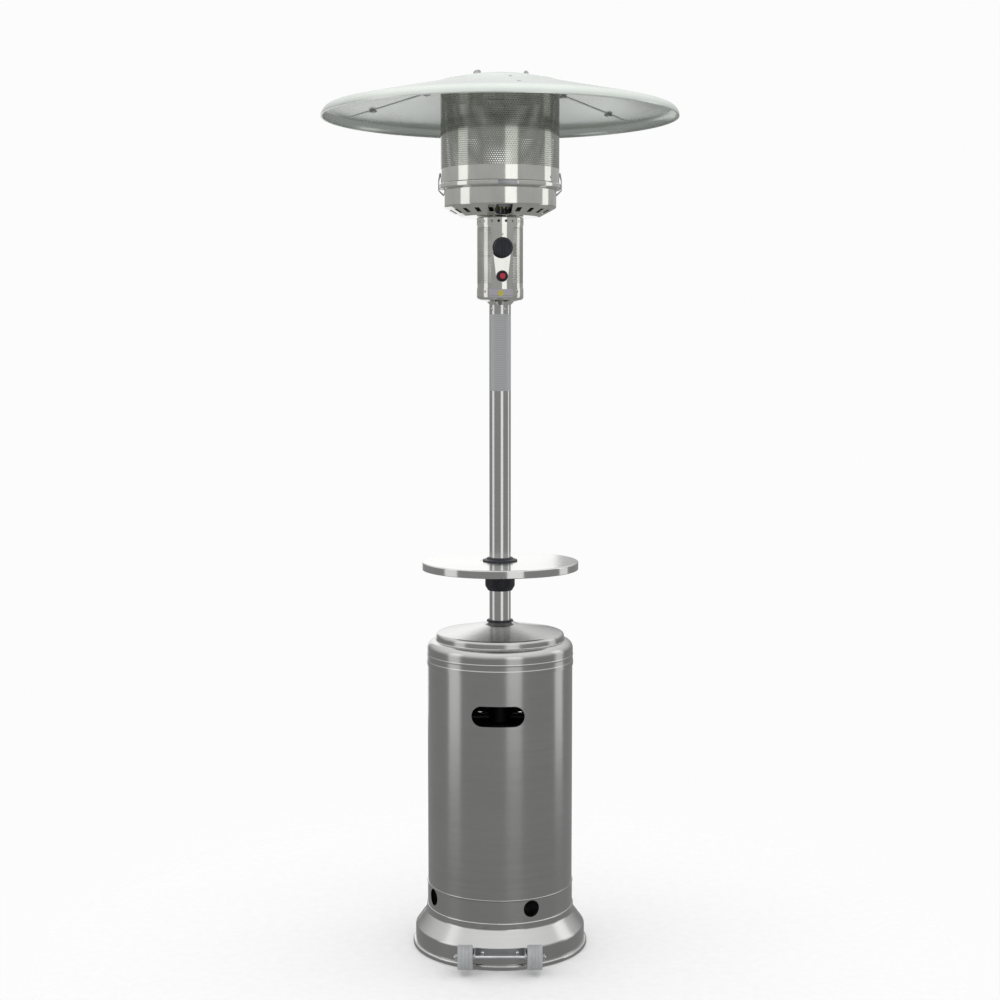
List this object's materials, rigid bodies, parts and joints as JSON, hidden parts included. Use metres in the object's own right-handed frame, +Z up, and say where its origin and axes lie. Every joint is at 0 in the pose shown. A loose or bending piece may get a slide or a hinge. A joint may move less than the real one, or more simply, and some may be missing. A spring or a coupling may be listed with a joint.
{
  "type": "outdoor heater",
  "caption": "Free-standing mushroom-shaped gas patio heater: wheeled base, cylindrical tank housing, slim post with a round table, control head, mesh emitter and wide round reflector.",
  "frame": {"origin": "on the floor, on the post's axis", "axes": "+Z up along the post; the front, with the wheels and the control knob, faces -Y; +X to the right seen from the front"},
  "size_m": [0.885, 0.8849, 2.205],
  "materials": {
    "brushed_steel": "satin, brushed round",
    "polished_steel": "mirror polished",
    "zinc_steel": "plated",
    "bright_fastener": "bright",
    "cast_iron": "painted",
    "black_paint": "satin black",
    "brass": "machined",
    "aluminium": "satin rolled sheet",
    "black_plastic": "moulded",
    "grey_plastic": "moulded",
    "red_plastic": "gloss",
    "white_ceramic": "glazed"
  },
  "bodies": {
    "stand": {"base_pan": "brushed_steel", "base_weight": "cast_iron", "base_plate": "zinc_steel", "vent_ring": "brushed_steel", "support_leg_1": "black_paint", "support_leg_2": "black_paint", "support_leg_3": "black_paint", "frame_bolts": "bright_fastener", "post_socket": "black_paint", "post": "brushed_steel", "post_screws": "bright_fastener", "wheel_bracket": "zinc_steel", "bracket_bolts": "bright_fastener", "axle": "bright_fastener", "axle_nuts": "bright_fastener", "control_cup": "polished_steel", "head_spigot": "zinc_steel", "control_shell": "polished_steel", "control_panel": "polished_steel", "control_collar": "polished_steel", "head_screws": "bright_fastener", "valve_body": "brass", "valve_inlet": "brass", "valve_bracket": "zinc_steel", "orifice": "brass", "igniter_bezel": "black_plastic", "piezo_igniter": "black_plastic", "tilt_switch": "black_plastic", "burner_bowl": "polished_steel", "burner_tube": "zinc_steel", "burner_head": "zinc_steel", "burner_plate": "zinc_steel", "clamp_ring": "polished_steel", "ring_clips": "zinc_steel", "emitter_screen": "polished_steel", "screen_cap": "polished_steel", "pilot_bracket": "zinc_steel", "pilot_burner": "brass", "thermocouple": "zinc_steel", "igniter_electrode": "white_ceramic", "reflector_panel_1": "aluminium", "reflector_panel_2": "aluminium", "reflector_panel_3": "aluminium", "reflector_hub": "aluminium", "reflector_studs": "bright_fastener", "reflector_spacers": "zinc_steel", "wing_nuts": "bright_fastener", "seam_screws": "bright_fastener"},
    "wheel_left": {"wheel_left": "grey_plastic"},
    "wheel_right": {"wheel_right": "grey_plastic"},
    "tank_housing": {"housing_shell": "brushed_steel", "housing_dome": "brushed_steel", "housing_grommet": "black_plastic"},
    "table": {"table_top": "brushed_steel", "table_collar": "black_plastic"},
    "table_nut": {"table_nut": "black_plastic"},
    "push_collar": {"push_collar": "brass"},
    "knob": {"knob": "black_plastic", "spindle": "zinc_steel"},
    "igniter_button": {"igniter_button": "red_plastic"}
  },
  "joints": [
    {"name": "wheel_left_spin", "type": "hinge", "parent": "stand", "child": "wheel_left", "pos_m": [-0.085, -0.247, 0.0435], "axis": [1, 0, 0], "continuous": true},
    {"name": "wheel_right_spin", "type": "hinge", "parent": "stand", "child": "wheel_right", "pos_m": [0.085, -0.247, 0.0435], "axis": [1, 0, 0], "continuous": true},
    {"name": "housing_lift", "type": "slide", "parent": "stand", "child": "tank_housing", "axis": [0, 0, 1], "range_m": [0, 0.45]},
    {"name": "table_slide", "type": "slide", "parent": "tank_housing", "child": "table", "axis": [0, 0, 1], "range_m": [0, 0.15]},
    {"name": "table_nut_turn", "type": "hinge", "parent": "table", "child": "table_nut", "pos_m": [0, 0, 0.95], "axis": [0, 0, 1], "range_deg": [0, 270]},
    {"name": "knob_push", "type": "slide", "parent": "stand", "child": "push_collar", "axis": [-0.1045, 0.9945, 0], "range_m": [0, 0.004], "stiffness_N_per_m": 1200},
    {"name": "knob_turn", "type": "hinge", "parent": "push_collar", "child": "knob", "pos_m": [0.00732, -0.06962, 1.7715], "axis": [0.1045, -0.9945, 0], "range_deg": [0, 210]},
    {"name": "igniter_push", "type": "slide", "parent": "stand", "child": "igniter_button", "axis": [-0.1045, 0.9945, 0], "range_m": [0, 0.005], "stiffness_N_per_m": 800}
  ]
}
